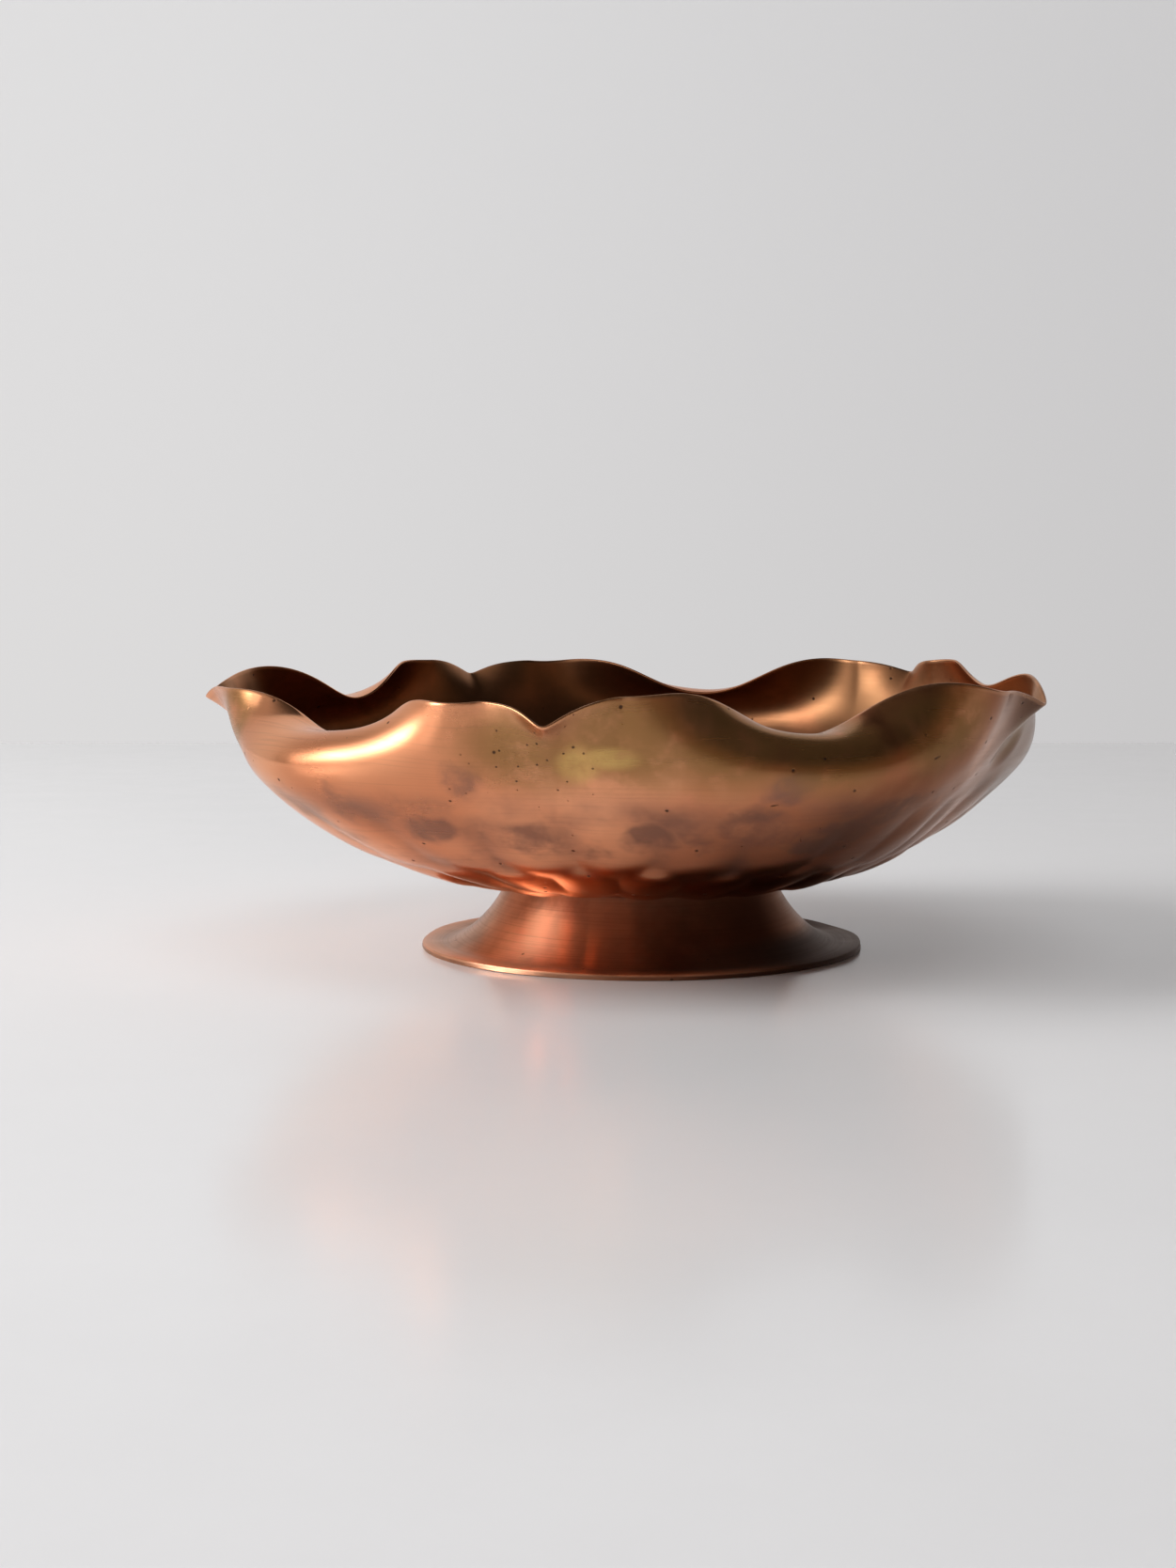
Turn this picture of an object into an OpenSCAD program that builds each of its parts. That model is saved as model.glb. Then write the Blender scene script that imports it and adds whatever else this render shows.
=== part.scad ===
// Hammered copper bowl with a ruffled rim, standing on a spun foot.
// Angles round the bowl are measured from the front (-Y), positive towards +X.

/* [Sheet] */
// Thickness of the copper sheet of the bowl and the foot
sheet = 0.8; // [0.6:0.1:1]

/* [Bowl] */
// Radius of the flat floor, where the wall starts
floor_r = 41.5; // [41:0.5:46]
// Height of the underside of the floor above the table
floor_z = 19.3; // [17:0.1:24]
// Length of the wall along the sheet, from floor to rim
wall_len = 105.5; // [98:0.5:110]
// Slope of the wall where it leaves the floor, in degrees
slope_floor = 2.2; // [0:0.2:5]
// How far the slope has grown at the rim, in degrees
slope_gain = 59.5; // [54:0.5:66]
// Share of the radius by which the wall swells under a fold and draws in under a notch
swell = 0.06; // [0:0.005:0.08]
// Share of the radius by which the hand-raised wall runs out of true towards -X
out_of_true = 0.03; // [0:0.005:0.05]

/* [Ruffle] */
// Length of wall below the rim that curls inwards at a fold
fold_len = 33; // [28:1:36]
// Length of wall below the rim that flares outwards at a notch
notch_len = 26; // [20:1:30]
// Angle from the middle of a narrow notch to its edge, in degrees
notch_half = 9; // [7:0.5:11]
// Inward lean of the recess under a notch, in degrees
recess_lean = 37; // [20:1:50]
// Angle from the middle of a recess to its edge, in degrees
recess_half = 16; // [12:0.5:18]

/* [Foot] */
// Radius of the foot at the edge of its flange
foot_r = 63.4; // [61:0.2:66]
// Radius of the neck, where it meets the bowl
neck_r = 39; // [37:0.5:40]
// Width of the hem that is turned under the edge of the flange
hem_w = 5; // [3:0.5:5]
// Width of the seat that is turned in at the top of the neck
seat_w = 4.5; // [3:0.5:6]

/* [Solder] */
// Thickness of the solder between the seat and the floor
solder_t = 0.3; // [0.2:0.05:0.5]
// Width of the solder fillet outside the neck
fillet_w = 1.2; // [0.8:0.1:1.4]

/* [Hidden] */
copper = "#b5673f";
tinned = "#8d7a68";

// Each notch: where it is and how far its edge is beaten out, in degrees, how much the lobe
// after it stands up, in millimetres, and how many times wider it is than a narrow notch
notches = [[-153.5, 80, -0.3, 1], [-89, 72, -2.6, 1.5], [-12.5, 91, 0.5, 1], [67, 65, 0.3, 1.8],
           [130.5, 65, 0.2, 1]];
// Each fold: where it is, how far it curls in and its half width, in degrees,
// and how much the lobe after it stands up, in millimetres
folds = [[-123.5, 127, 27.5, 0.3], [-50.5, 143, 33, -1.9], [22.5, 132, 32, 1.6],
         [101, 96.5, 32, 1.7], [167, 132.5, 34.5, -1]];

// Length of wall below the rim that leans in under a notch, and the part of it that eases in
recess_len = 26;
recess_ease = 16;
// Length of wall below the rim that the lobes lift
lobe_len = 30;
// How fast the slope grows along the wall: 1 is even
slope_power = 0.9;
// Share of the wall's length over which the swell builds up
swell_reach = 0.8;
// Roundness of the bottom of a notch, and how sharply its sides open
notch_round = 0.015;
notch_power = 1.3;

// Steps from one notch to the next, rings of points up the wall, and steps from ring to ring
sector_steps = 28;
wall_rings = 18;
chord_steps = 4;
// How much closer together the steps are near a notch, and the rings near the rim
step_crowding = 0.09;
ring_crowding = 0.35;

// Two layers of sheet, pressed together by 0.1 mm
hem_t = 2 * sheet - 0.1;
// Radius where the flange becomes flat
flange_r = 57;
// How far the neck's curve first runs out and down, and the flange's curve in and up
neck_pull = [2, 6.6];
flange_pull = [7, 0.4];
curve_steps = 14;
// Share of the fillet's width and height at its waist
fillet_waist = 0.4;
seat_top = floor_z - solder_t;
count = len(notches);
turns = count * sector_steps;

// Smooth step from 0 to 1, level at both ends
function ease(x) = let (t = min(1, max(0, x))) t * t * (3 - 2 * t);
// Smooth hump, 1 in the middle and 0 from x = 1 outwards
function hump(x) = x < 1 ? 0.5 + 0.5 * cos(180 * x) : 0;
// Angle between two directions, 0 to 180
function apart(a, b) = abs(((a - b) % 360 + 540) % 360 - 180);
function sum(list) = list * [for (v = list) 1];

// Inward curl, outward flare and recess at direction a, in degrees
function curl(a) = sum([for (f = folds) f[1] * hump(apart(a, f[0]) / f[2])]);
function vee(x, wide) = pow(max(0, 1 - sqrt(x * x + notch_round)), notch_power * wide);
function flare(a) = sum([for (n = notches) n[1] * vee(apart(a, n[0]) / notch_half / n[3], n[3])]);
function recess(a) =
    recess_lean * sum([for (n = notches) hump(apart(a, n[0]) / recess_half / sqrt(n[3])) / n[3]]);

// Slope of the wall at direction a and length s from the floor
function slope(a, s, in, out, dent) =
    slope_floor + slope_gain * pow(s / wall_len, slope_power)
    + in * ease(1 - (wall_len - s) / fold_len)
    - out * ease(1 - (wall_len - s) / notch_len)
    + dent * ease((s - wall_len + recess_len) / recess_ease);

// Length along the wall at ring number k: the rings are closer together near the rim
function ring_s(k) = let (t = k / wall_rings) wall_len * t * (1 + ring_crowding * (1 - t));

// Step of the profile between lengths s and t: [outwards, upwards]
function chord(a, s, t, in, out, dent) =
    let (mid = [for (i = [0.5:chord_steps]) slope(a, s + (t - s) * i / chord_steps, in, out, dent)])
    (t - s) / chord_steps * [sum([for (m = mid) cos(m)]), sum([for (m = mid) sin(m)])];

// Profile of the wall at direction a: a list of [radius, height]
function profile(a) =
    let (in = curl(a), out = flare(a), dent = recess(a))
    [for (k = 0, p = [floor_r, floor_z]; k <= wall_rings;
          p = p + (k < wall_rings ? chord(a, ring_s(k), ring_s(k + 1), in, out, dent) : [0, 0]),
          k = k + 1) p];

// Sector number n runs from one notch, over a fold, to the next notch
function sector_start(n) = notches[n][0];
function sector_end(n) = n < count - 1 ? notches[n + 1][0] : notches[0][0] + 360;

// 1 over a notch, -1 over a fold, smooth between, for a direction inside sector n
function between(a, n) =
    let (mid = folds[n][0])
    a < mid ? 1 - 2 * ease((a - sector_start(n)) / (mid - sector_start(n)))
            : 2 * ease((a - mid) / (sector_end(n) - mid)) - 1;

// How much the rim stands up at direction a: each half of a sector carries one lobe
function lobe(a, n) =
    let (mid = folds[n][0],
         first = a < mid,
         from = first ? sector_start(n) : mid,
         to = first ? mid : sector_end(n),
         rise = first ? notches[n][2] : folds[n][3])
    rise * hump(abs(2 * (a - from) / (to - from) - 1));

// Direction number i: the steps are closer together near the notches
function sector(i) = floor(i / sector_steps);
function direction(i) =
    let (n = sector(i), t = (i % sector_steps) / sector_steps)
    sector_start(n) + (sector_end(n) - sector_start(n)) * (t - step_crowding * sin(360 * t));

// Outer surface: column i holds the floor's middle ring, its edge and the wall's rings
function column(i) =
    let (a = direction(i),
         wave = between(a, sector(i)),
         rise = lobe(a, sector(i)),
         wall = profile(a))
    [for (k = [-1:wall_rings])
        let (p = k < 0 ? [floor_r / 2, floor_z] : wall[k],
             s = ring_s(max(0, k)),
             grow = ease(s / wall_len / swell_reach),
             r = p[0] * (1 - grow * (swell * wave + out_of_true * sin(a))))
        [r * sin(a), -r * cos(a), p[1] + rise * ease((s - wall_len + lobe_len) / lobe_len)]];

function unit(v) = v / norm(v);

// The sheet's other side: every point moved inwards, square to the surface
function lined(grid) =
    let (n = len(grid), m = len(grid[0]))
    [for (i = [0:n - 1])
        [for (k = [0:m - 1])
            let (along = grid[i][min(m - 1, k + 1)] - grid[i][max(0, k - 1)],
                 around = grid[(i + 1) % n][k] - grid[(i + n - 1) % n][k])
            k < 1 ? grid[i][k] + [0, 0, sheet] : grid[i][k] - sheet * unit(cross(around, along))]];

// Triangles between column i and the next, with the given first point number
function strip(i, m, base, flip) =
    let (j = (i + 1) % turns)
    [for (k = [0:m - 2])
        let (a = base + i * m + k, b = base + j * m + k)
        for (t = [[a, a + 1, b + 1], [a, b + 1, b]]) flip ? [t[2], t[1], t[0]] : t];

module bowl() {
    outer = [for (i = [0:turns - 1]) column(i)];
    inner = lined(outer);
    m = wall_rings + 2;
    shift = turns * m;
    centre = 2 * shift;
    points = concat(
        [for (c = outer) for (p = c) p],
        [for (c = inner) for (p = c) p],
        [[0, 0, floor_z], [0, 0, floor_z + sheet]]);
    faces = concat(
        [for (i = [0:turns - 1]) for (f = strip(i, m, 0, false)) f],
        [for (i = [0:turns - 1]) for (f = strip(i, m, shift, true)) f],
        [for (i = [0:turns - 1]) let (j = (i + 1) % turns) [centre, i * m, j * m]],
        [for (i = [0:turns - 1]) let (j = (i + 1) % turns) [centre + 1, shift + j * m, shift + i * m]],
        [for (i = [0:turns - 1]) let (j = (i + 1) % turns, a = i * m + m - 1, b = j * m + m - 1)
            for (t = [[a, a + shift, b + shift], [a, b + shift, b]]) t]);
    color(copper) polyhedron(points, faces, convexity = 6);
}

// Cubic curve through the foot's wall, from the neck down to the flange
function bend(t, p) =
    let (u = 1 - t) u * u * u * p[0] + 3 * u * u * t * p[1] + 3 * u * t * t * p[2] + t * t * t * p[3];

module foot() {
    inside_z = hem_t - sheet;
    edge = sheet / 2;
    outer = [
        [neck_r, seat_top],
        [neck_r + neck_pull[0], seat_top - neck_pull[1]],
        [flange_r - flange_pull[0], hem_t + flange_pull[1]],
        [flange_r, hem_t]];
    inner = [
        [flange_r, inside_z],
        [flange_r - flange_pull[0], inside_z + flange_pull[1]],
        [neck_r + neck_pull[0] - sheet, seat_top - neck_pull[1]],
        [neck_r - sheet, seat_top - sheet]];
    color(copper) rotate_extrude($fn = 120) polygon(concat(
        [[neck_r - seat_w, seat_top]],
        [for (i = [0:curve_steps]) bend(i / curve_steps, outer)],
        [for (a = [90:-30:0]) [foot_r - edge + edge * cos(a), hem_t - edge + edge * sin(a)]],
        [for (a = [0:-30:-90]) [foot_r - edge + edge * cos(a), edge + edge * sin(a)]],
        [[foot_r - hem_w, 0], [foot_r - hem_w, inside_z]],
        [for (i = [0:curve_steps]) bend(i / curve_steps, inner)],
        [[neck_r - seat_w, seat_top - sheet]]));
}

// Solder that fills the gap between the seat and the floor, with a fillet outside the neck
module solder_joint() {
    color(tinned) rotate_extrude($fn = 120) polygon([
        [neck_r - seat_w, seat_top],
        [neck_r, seat_top],
        [neck_r + fillet_w * fillet_waist, seat_top + solder_t * fillet_waist],
        [neck_r + fillet_w, floor_z],
        [neck_r - seat_w, floor_z]]);
}

bowl();
foot();
solder_joint();
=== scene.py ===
# %% [markdown]
# # A hammered copper bowl on a spun foot
#
# The real bowl is two pieces of copper sheet and some solder. The dish was raised from one disc,
# hammered from inside so that its lower wall is covered with soft bumps, and its rim was beaten
# outwards into five sharp notches and rolled inwards into five broad folds. The foot was spun
# over a former and its edge was hemmed. Soft solder holds the two together.
#
# A bowl like this could be modelled with a subdivision cage, pulled about by hand. Here every
# surface is a formula instead, worked out with numpy, because a sheet of metal has one strong
# rule: its length from floor to rim hardly changes while it is beaten. A profile that is laid out
# by its length and its slope keeps that rule, so folds and notches come out as metal does them.
#
# The imported CAD model gives the frame: its nodes, its sizes and its box. It is loaded first.

# %% The frame
import math

import bpy
import numpy as np
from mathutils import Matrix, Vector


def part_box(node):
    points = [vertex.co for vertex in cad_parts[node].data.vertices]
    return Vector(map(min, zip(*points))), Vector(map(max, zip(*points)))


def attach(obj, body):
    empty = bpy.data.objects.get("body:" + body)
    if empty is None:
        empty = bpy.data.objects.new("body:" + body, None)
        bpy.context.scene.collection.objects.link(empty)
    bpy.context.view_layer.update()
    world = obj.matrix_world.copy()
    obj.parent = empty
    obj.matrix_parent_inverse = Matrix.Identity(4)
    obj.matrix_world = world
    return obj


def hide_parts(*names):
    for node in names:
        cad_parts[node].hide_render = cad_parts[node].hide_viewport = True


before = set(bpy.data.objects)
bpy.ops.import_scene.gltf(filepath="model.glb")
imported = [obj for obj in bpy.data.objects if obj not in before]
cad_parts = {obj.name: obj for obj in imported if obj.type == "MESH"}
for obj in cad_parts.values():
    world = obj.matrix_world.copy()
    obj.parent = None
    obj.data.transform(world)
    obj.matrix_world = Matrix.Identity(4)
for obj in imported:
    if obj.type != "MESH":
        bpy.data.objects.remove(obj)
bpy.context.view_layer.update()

MM = 0.001
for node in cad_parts:
    low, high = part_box(node)
    print(node, "height in mm:", round(low[2] / MM, 1), "to", round(high[2] / MM, 1))

# %% [markdown]
# ## The camera
#
# The bowl is seen from the front, a little above its rim, from about three bowl-widths away. A
# camera that far off with a longish lens shows the rim as a thin ellipse, so all its notches
# overlap and read as one wavy line. The camera looks down by a few degrees and is not shifted.

# %% The camera
CAMERA_PLACE = (-15.4 * MM, -714.5 * MM, 114.0 * MM)
CAMERA_DOWN = 5.4
CAMERA_LENS = 57.14

camera_data = bpy.data.cameras.new("camera")
camera_data.lens = CAMERA_LENS
camera_data.sensor_width = 36.0
camera = bpy.data.objects.new("camera", camera_data)
camera.location = CAMERA_PLACE
camera.rotation_euler = (math.radians(90 - CAMERA_DOWN), 0, 0)
bpy.context.collection.objects.link(camera)
bpy.context.scene.camera = camera
print("camera is", round(CAMERA_PLACE[2] / MM), "mm up and looks down by", CAMERA_DOWN, "degrees")

# %% [markdown]
# ## Building materials from nodes
#
# A material is a small network of nodes. A few helpers keep the cells below short: they make a
# node and set its values, a colour ramp, a sum, a smooth fade, or a layer of colour. Links are made
# by naming an output socket as a value, so a network reads like nested calls.

# %% Helpers for node networks


def add_node(tree, kind, settings=None, **sockets):
    """A node of the given kind. settings are its own choices, and sockets its inputs by name
    or, as _0, _1 and so on, by number. A socket as a value is linked, anything else is set."""
    node = tree.nodes.new("ShaderNode" + kind)
    for key, value in (settings or {}).items():
        setattr(node, key, value)
    for key, value in sockets.items():
        name = int(key[1:]) if key.startswith("_") else key.replace("_", " ")
        if isinstance(value, bpy.types.NodeSocket):
            tree.links.new(value, node.inputs[name])
        else:
            node.inputs[name].default_value = value
    return node


def ramp(tree, factor, *stops):
    """A colour ramp through (place, grey or colour) stops."""
    node = tree.nodes.new("ShaderNodeValToRGB")
    tree.links.new(factor, node.inputs[0])
    stripe = node.color_ramp.elements
    while len(stripe) < len(stops):
        stripe.new(0.5)
    for element, (place, colour) in zip(stripe, stops):
        element.position = place
        element.color = (colour, colour, colour, 1) if np.isscalar(colour) else (*colour, 1)
    return node.outputs[0]


def math_node(tree, operation, first, second=0.0):
    """One sum on numbers: ADD, MULTIPLY and so on."""
    return add_node(tree, "Math", {"operation": operation}, _0=first, _1=second).outputs[0]


def both(tree, first, second):
    """The product of two masks, or of a mask and its strength."""
    return math_node(tree, "MULTIPLY", first, second)


def fade(tree, value, start, end):
    """A smooth 0 to 1 as the value goes from start to end, or back again if end is smaller."""
    return add_node(tree, "MapRange", {"interpolation_type": "SMOOTHSTEP"}, Value=value,
                    From_Min=start, From_Max=end).outputs[0]


def blend_colours(tree, factor, first, second):
    """Two colours mixed by a factor from 0 to 1."""
    node = add_node(tree, "Mix", {"data_type": "RGBA"}, _0=factor)
    for place, value in ((6, first), (7, second)):
        if isinstance(value, bpy.types.NodeSocket):
            tree.links.new(value, node.inputs[place])
        else:
            node.inputs[place].default_value = (*value, 1)
    return node.outputs[2]


def tint(tree, colour, second, mask, strength):
    """A colour with a second one laid over it where the mask is 1, at the given strength."""
    return blend_colours(tree, both(tree, mask, strength), colour, second)


def new_material(name, **constants):
    """An empty material: its tree and its Principled shader, with constant values set."""
    material = bpy.data.materials.new(name)
    material.use_nodes = True
    shader = material.node_tree.nodes["Principled BSDF"]
    for key, value in constants.items():
        shader.inputs[key.replace("_", " ")].default_value = value
    return material, material.node_tree, shader


# %% [markdown]
# ## The table and the backdrop
#
# Copper shows what stands round it, so the table and the wall matter as much as the lights. The
# table is white and glossy, and carries a soft mirror image of the bowl. It ends some way behind
# the bowl, where a pale grey backdrop begins. The backdrop glows a little by itself, like paper
# with daylight behind it, and is a shade brighter on the window's side.

# %% The table and the backdrop
TABLE_BACK = 0.75
WALL_BACK = 1.9


def flat_panel(name, corners, material):
    """A panel with four given corners that isn't part of the bowl."""
    mesh = bpy.data.meshes.new(name)
    mesh.from_pydata(corners, [], [(0, 1, 2, 3)])
    panel = bpy.data.objects.new(name, mesh)
    bpy.context.collection.objects.link(panel)
    mesh.materials.append(material)
    return panel


table_material, table_tree, table_shader = new_material("white_table", IOR=1.45, Specular_IOR_Level=0.4)
place = add_node(table_tree, "TexCoord").outputs["Object"]
marks_on_table = add_node(table_tree, "TexNoise", Vector=place, Scale=9.0, Detail=6.0, Roughness=0.65)
smear = ramp(table_tree, marks_on_table.outputs["Fac"], (0.42, 0.17), (0.72, 0.21))
table_colour = ramp(table_tree, marks_on_table.outputs["Fac"], (0.3, (0.80, 0.80, 0.815)),
                    (0.75, (0.765, 0.765, 0.78)))
table_tree.links.new(table_colour, table_shader.inputs["Base Color"])
table_tree.links.new(smear, table_shader.inputs["Roughness"])
flat_panel("table", [(-2.2, -1.6, 0), (2.2, -1.6, 0), (2.2, TABLE_BACK, 0), (-2.2, TABLE_BACK, 0)],
           table_material)

wall_material, wall_tree, wall_shader = new_material(
    "grey_backdrop", Base_Color=(0.30, 0.30, 0.31, 1), Roughness=0.9, Emission_Strength=1.0)
place = add_node(wall_tree, "TexCoord").outputs["Object"]
across = add_node(wall_tree, "SeparateXYZ", Vector=place).outputs["X"]
wall_glow = ramp(wall_tree, fade(wall_tree, across, -0.9, 0.9), (0.0, (0.545, 0.55, 0.555)),
                 (1.0, (0.425, 0.43, 0.44)))
wall_tree.links.new(wall_glow, wall_shader.inputs["Emission Color"])
flat_panel("backdrop", [(-4, WALL_BACK, -1.5), (4, WALL_BACK, -1.5), (4, WALL_BACK, 2.2),
                        (-4, WALL_BACK, 2.2)], wall_material)
print("the table ends", round(TABLE_BACK / MM), "mm behind the middle of the bowl, and the backdrop is",
      round((WALL_BACK - TABLE_BACK) / MM), "mm further back")

# %% [markdown]
# ## The light
#
# Metal mirrors the room, so the room is planned like a photographer's tent. A small window stands
# on the left, a little in front. The rolled folds and the foot carry its narrow highlights, and it
# looks in over the rim to the far side of the inside. A curtain of fainter light surrounds it. Two
# more lights, from the left and from above, brighten the table. They are hidden from glossy rays,
# so the copper doesn't mirror them but only the table they light.

# %% The light


def soft_light(name, place, towards, size, power, mirrored=True):
    """A rectangular light at a place, turned towards a point."""
    data = bpy.data.lights.new(name, "AREA")
    data.shape = "RECTANGLE"
    data.size, data.size_y = size
    data.energy = power
    light = bpy.data.objects.new(name, data)
    light.location = place
    aim = np.subtract(towards, place)
    flat = math.hypot(aim[0], aim[1])
    light.rotation_euler = (math.atan2(flat, -aim[2]), 0, math.atan2(-aim[0], aim[1]))
    light.visible_glossy = mirrored
    bpy.context.collection.objects.link(light)
    return light


lights = [
    soft_light("window", (-1.41, -0.30, 0.56), (0, 0, 0.05), (0.54, 0.46), 6),
    soft_light("curtain", (-1.44, -0.32, 0.62), (0, 0, 0.05), (1.1, 1.1), 6.5),
    soft_light("table_light", (-1.55, -0.10, 0.95), (0, -0.1, 0), (1.0, 1.2), 20, mirrored=False),
    soft_light("overhead", (0.1, -0.7, 2.0), (0.1, -0.2, 0), (1.6, 1.6), 13, mirrored=False)]
print(len(lights), "lights,", sum(light.data.energy for light in lights), "W in all")

# %% [markdown]
# ## The room
#
# The rest of the room is a colour for each direction. Most of it is dim, so the leaning lobes and
# the inside, which mirror it, go deep brown. It is warmer and lighter low down in front, and
# lightest on the window's side, except straight overhead.

# %% The room
ROOM_DARK = (0.026, 0.023, 0.021)
ROOM_FRONT = (0.26, 0.18, 0.12)
ROOM_LEFT = (0.46, 0.43, 0.40)

world = bpy.data.worlds.new("dim_room")
world.use_nodes = True
sky = world.node_tree
direction = add_node(sky, "TexCoord").outputs["Generated"]
parts = add_node(sky, "SeparateXYZ", Vector=direction).outputs
in_front = fade(sky, parts["Y"], 0.5, -0.4)
low_down = fade(sky, parts["Z"], 0.55, 0.0)
glow = both(sky, in_front, low_down)
room = blend_colours(sky, glow, ROOM_DARK, ROOM_FRONT)
beside_window = both(sky, fade(sky, parts["X"], 0.0, -0.6), fade(sky, parts["Z"], 1.0, 0.8))
room = blend_colours(sky, beside_window, room, ROOM_LEFT)
sky.links.new(room, sky.nodes["Background"].inputs[0])
bpy.context.scene.world = world
bpy.context.scene.view_settings.view_transform = "Standard"
print("brightest part of the room:", ROOM_LEFT)

# %% [markdown]
# ## The wall of the bowl
#
# The wall is a function of two numbers: the direction round the bowl, measured from the front,
# and the length along the sheet from the edge of the floor. At each point the formula gives the
# slope of the sheet, and adding up many small steps at that slope gives the profile. A fold adds
# slope near the rim, so the sheet curls over inwards. A notch first adds some and then takes much
# away, so the sheet leans in and flares out again. All lengths here are in millimetres.

# %% The sizes of the bowl
SHEET = 0.8
FLOOR_R = 41.5
FLOOR_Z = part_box("bowl")[0][2] / MM
WALL_LEN = 105.5
SLOPE_FLOOR, SLOPE_GAIN = 2.2, 59.5
SWELL = 0.06
OUT_OF_TRUE = 0.03
FOLD_LEN, NOTCH_LEN, RECESS_LEN, LOBE_LEN = 33.0, 26.0, 26.0, 30.0
NOTCH_HALF, RECESS_HALF = 9.0, 16.0
RECESS_LEAN, RECESS_EASE = 37.0, 16.0
NOTCH_ROUND, NOTCH_POWER = 0.015, 1.3
SLOPE_POWER, SWELL_REACH = 0.9, 0.8

# Each notch: its direction, its flare, how much the lobe after it stands up, and its width
NOTCHES = [(-153.5, 80, -0.3, 1), (-89, 72, -2.6, 1.5), (-12.5, 91, 0.5, 1), (67, 65, 0.3, 1.8),
           (130.5, 65, 0.2, 1)]
# Each fold: its direction, its curl, its half width, and how much the lobe after it stands up
FOLDS = [(-123.5, 127, 27.5, 0.3), (-50.5, 143, 33, -1.9), (22.5, 132, 32, 1.6),
         (101, 96.5, 32, 1.7), (167, 132.5, 34.5, -1)]
print("the bowl is raised from a disc", round(2 * (FLOOR_R + WALL_LEN)), "mm across")

# %% [markdown]
# ## The slope of the sheet
#
# Curl, flare and lean come in towards the rim through a smooth step of the length that is left.
# Round the bowl a fold and a recess fade away like a cosine, because rolled metal bends gently. A
# notch has straight sides that meet in a narrow valley, because it was beaten over an edge.

# %% The slope of the sheet


def ease(x):
    """A smooth step: 3t^2 - 2t^3 with t held between 0 and 1."""
    t = np.clip(x, 0, 1)
    return t * t * (3 - 2 * t)


def hump(x):
    """A smooth hump: half of 1 + cos(pi x) up to x = 1, then nothing."""
    return 0.5 + 0.5 * np.cos(np.pi * np.clip(x, 0, 1))


def apart(a, b):
    """The angle between two directions in degrees, from 0 to 180."""
    return np.abs((a - b + 180) % 360 - 180)


def wall_slope(a, s):
    """The slope of the sheet in degrees at direction a and length s: a base slope that grows
    with the length, plus the curl of the folds, minus the flare of the notches, plus the lean
    of the recess under each notch."""
    left = WALL_LEN - s
    curl = sum(c * hump(apart(a, f) / w) for f, c, w, _ in FOLDS)
    vee = [np.maximum(0, 1 - np.sqrt((apart(a, n) / NOTCH_HALF / wide) ** 2 + NOTCH_ROUND))
           for n, _, _, wide in NOTCHES]
    flare = sum(c * v ** (NOTCH_POWER * wide) for v, (_, c, _, wide) in zip(vee, NOTCHES))
    dent = RECESS_LEAN * sum(hump(apart(a, n) / RECESS_HALF / wide ** 0.5) / wide
                             for n, _, _, wide in NOTCHES)
    return (SLOPE_FLOOR + SLOPE_GAIN * (s / WALL_LEN) ** SLOPE_POWER
            + curl * ease(1 - left / FOLD_LEN)
            - flare * ease(1 - left / NOTCH_LEN)
            + dent * ease((RECESS_LEN - left) / RECESS_EASE))


for part, (direction, *_) in (("front fold", FOLDS[2]), ("front notch", NOTCHES[2])):
    print("slope at the rim of the", part, round(float(wall_slope(direction, WALL_LEN))), "degrees")

# %% [markdown]
# ## The points of the wall
#
# Steps along the slope give a profile in each direction. Beating a notch outwards and rolling a
# fold inwards also move the metal below them a little, so the radius gets a wave that follows the
# notches and folds. One lobe stands a bit higher than the next, and the whole is slightly out of
# true, which a lathe would never leave.

# %% The points of the wall


def ripple(a):
    """Two waves round the bowl at direction a: one that is 1 over a notch and -1 over a fold,
    and the rise of the lobes, one between each neighbouring notch and fold."""
    marks = sorted([(n, 1, h) for n, _, h, _ in NOTCHES] + [(f, -1, h) for f, _, _, h in FOLDS])
    marks.append((marks[0][0] + 360, *marks[0][1:]))
    turned = (a - marks[0][0]) % 360 + marks[0][0]
    wave, rise = np.zeros_like(a), np.zeros_like(a)
    for (start, here, height), (end, there, _) in zip(marks[:-1], marks[1:]):
        inside = (turned >= start) & (turned < end)
        t = (turned - start) / (end - start)
        wave = np.where(inside, here + (there - here) * ease(t), wave)
        rise = np.where(inside, height * hump(np.abs(2 * t - 1)), rise)
    return wave, rise


def wall_surface(a, s, fine=6):
    """Points of the smooth outer wall, one row for each direction a and one column for each
    length s. Radius and height are running sums of cos and sin of the slope over fine steps,
    then the radius swells under folds and runs a little out of true towards -X."""
    steps = [s[:1]] + [np.linspace(p, q, fine + 1)[1:] for p, q in zip(s[:-1], s[1:])]
    lengths = np.concatenate(steps)
    slope = np.radians(wall_slope(a[:, None], lengths[None, :]))
    middle, step = (slope[:, 1:] + slope[:, :-1]) / 2, np.diff(lengths)
    start = np.zeros((len(a), 1))
    r = FLOOR_R + np.hstack([start, np.cumsum(np.cos(middle) * step, 1)])[:, ::fine]
    z = FLOOR_Z + np.hstack([start, np.cumsum(np.sin(middle) * step, 1)])[:, ::fine]
    wave, rise = ripple(a)
    turn = np.radians(a)[:, None]
    grow = ease(s / WALL_LEN / SWELL_REACH)[None, :]
    r = r * (1 - grow * (SWELL * wave[:, None] + OUT_OF_TRUE * np.sin(turn)))
    z = z + rise[:, None] * ease(1 - (WALL_LEN - s) / LOBE_LEN)[None, :]
    return np.stack([r * np.sin(turn), -r * np.cos(turn), z], -1)


rim = wall_surface(np.array([FOLDS[2][0], NOTCHES[2][0]]), np.linspace(0, WALL_LEN, 60))[:, -1]
print("rim height in mm at the front fold and notch:", rim[:, 2].round(1).tolist())


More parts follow.
